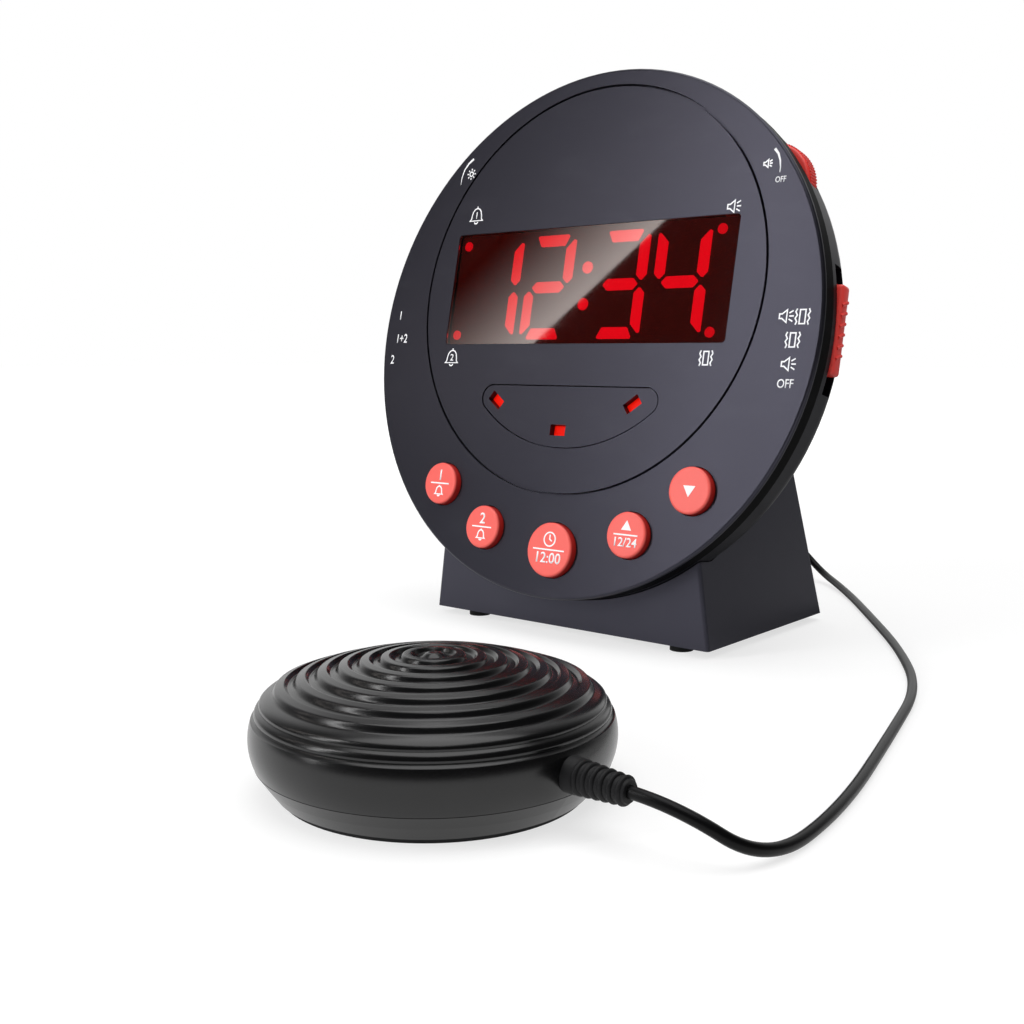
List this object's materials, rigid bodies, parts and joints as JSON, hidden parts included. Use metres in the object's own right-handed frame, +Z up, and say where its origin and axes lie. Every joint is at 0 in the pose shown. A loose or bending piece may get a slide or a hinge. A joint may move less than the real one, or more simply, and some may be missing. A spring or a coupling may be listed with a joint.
{
  "type": "bed shaker alarm clock",
  "caption": "Bedside alarm clock with a round leaning face, red digital display and push buttons on a block stand, wired to a ridged puck that shakes the bed.",
  "frame": {"origin": "on the table under the middle of the clock's own box, without the puck and its cord", "axes": "+Z up, -Y the way the face looks, +X to the right of someone who reads the face"},
  "size_m": [0.2006, 0.2726, 0.1587],
  "materials": {
    "slate_shell": "fine satin moulding texture",
    "alert_insert": "satin",
    "black_trim": "semi-gloss",
    "black_plastic": "matte",
    "snooze_grey": "satin",
    "red_button": "satin",
    "red_control": "satin",
    "red_lens": "polished",
    "lit_red": "lit",
    "unlit_red": "unlit lamp",
    "alert_red": "translucent",
    "display_black": "matte",
    "circuit_board": "solder mask",
    "steel_screw": "zinc plated",
    "speaker_metal": "black",
    "battery_wrap": "plain wrap",
    "black_rubber": "matte",
    "shaker_shell": "satin black",
    "motor_steel": "drawn can",
    "weight_brass": "machined"
  },
  "bodies": {
    "clock": {"front_bezel": "slate_shell", "face_panel": "slate_shell", "rear_housing": "slate_shell", "stand": "slate_shell", "alert_panel": "alert_insert", "trim_ring": "black_trim", "base_plate": "black_plastic", "mode_switch": "black_plastic", "alarm_switch": "black_plastic", "volume_control": "black_plastic", "dimmer_control": "black_plastic", "key_switches": "black_plastic", "dc_jack": "black_plastic", "shaker_jack": "black_plastic", "motor_cradle": "black_plastic", "battery_clip": "black_plastic", "snooze_switch": "black_plastic", "display_lens": "red_lens", "digit_segments": "lit_red", "indicator_dots": "unlit_red", "alert_lights": "alert_red", "display_module": "display_black", "main_board": "circuit_board", "key_board": "circuit_board", "board_screws": "steel_screw", "housing_screws": "steel_screw", "stand_screws": "steel_screw", "base_screws": "steel_screw", "shaker_screws": "steel_screw", "speaker": "speaker_metal", "backup_battery": "battery_wrap", "rubber_feet": "black_rubber", "shaker_sole": "black_rubber", "strain_relief": "black_rubber", "shaker_plug": "black_rubber", "shaker_cord": "black_rubber", "shaker_top": "shaker_shell", "shaker_base": "shaker_shell", "shaker_motor": "motor_steel"},
    "alarm_1_button": {"alarm_1_button": "red_button"},
    "alarm_2_button": {"alarm_2_button": "red_button"},
    "time_button": {"time_button": "red_button"},
    "up_button": {"up_button": "red_button"},
    "down_button": {"down_button": "red_button"},
    "snooze_bar": {"snooze_bar": "snooze_grey"},
    "volume_wheel": {"volume_wheel": "red_control"},
    "dimmer_wheel": {"dimmer_wheel": "red_control"},
    "mode_slider": {"mode_slider": "red_control"},
    "alarm_slider": {"alarm_slider": "red_control"},
    "battery_door": {"battery_door": "black_plastic"},
    "eccentric_weight": {"eccentric_weight": "weight_brass"}
  },
  "joints": [
    {"name": "alarm_1_press", "type": "slide", "parent": "clock", "child": "alarm_1_button", "axis": [0, 0.9781, -0.2079], "range_m": [0, 0.0008], "stiffness_N_per_m": 500, "springref_m": -0.0005},
    {"name": "alarm_2_press", "type": "slide", "parent": "clock", "child": "alarm_2_button", "axis": [0, 0.9781, -0.2079], "range_m": [0, 0.0008], "stiffness_N_per_m": 500, "springref_m": -0.0005},
    {"name": "time_press", "type": "slide", "parent": "clock", "child": "time_button", "axis": [0, 0.9781, -0.2079], "range_m": [0, 0.0008], "stiffness_N_per_m": 500, "springref_m": -0.0005},
    {"name": "up_press", "type": "slide", "parent": "clock", "child": "up_button", "axis": [0, 0.9781, -0.2079], "range_m": [0, 0.0008], "stiffness_N_per_m": 500, "springref_m": -0.0005},
    {"name": "down_press", "type": "slide", "parent": "clock", "child": "down_button", "axis": [0, 0.9781, -0.2079], "range_m": [0, 0.0008], "stiffness_N_per_m": 500, "springref_m": -0.0005},
    {"name": "snooze_press", "type": "slide", "parent": "clock", "child": "snooze_bar", "axis": [0, -0.2079, -0.9781], "range_m": [0, 0.0015], "stiffness_N_per_m": 800, "springref_m": -0.0006},
    {"name": "volume_turn", "type": "hinge", "parent": "clock", "child": "volume_wheel", "pos_m": [0.0502, -0.00644, 0.12224], "axis": [0, -0.9781, 0.2079], "range_deg": [-140, 140]},
    {"name": "dimmer_turn", "type": "hinge", "parent": "clock", "child": "dimmer_wheel", "pos_m": [-0.0502, -0.00644, 0.12224], "axis": [0, -0.9781, 0.2079], "range_deg": [-140, 140]},
    {"name": "mode_slide", "type": "slide", "parent": "clock", "child": "mode_slider", "axis": [0, 0.2079, 0.9781], "range_m": [-0.0045, 0.0045]},
    {"name": "alarm_slide", "type": "slide", "parent": "clock", "child": "alarm_slider", "axis": [0, 0.2079, 0.9781], "range_m": [-0.0045, 0.0045]},
    {"name": "battery_door_hinge", "type": "hinge", "parent": "clock", "child": "battery_door", "pos_m": [0, 0.00352, 0.0022], "axis": [-1, 0, 0], "range_deg": [0, 90]},
    {"name": "weight_spin", "type": "hinge", "parent": "clock", "child": "eccentric_weight", "pos_m": [0.0575, -0.1408, 0.0115], "axis": [0.0698, 0.9976, 0], "continuous": true}
  ]
}
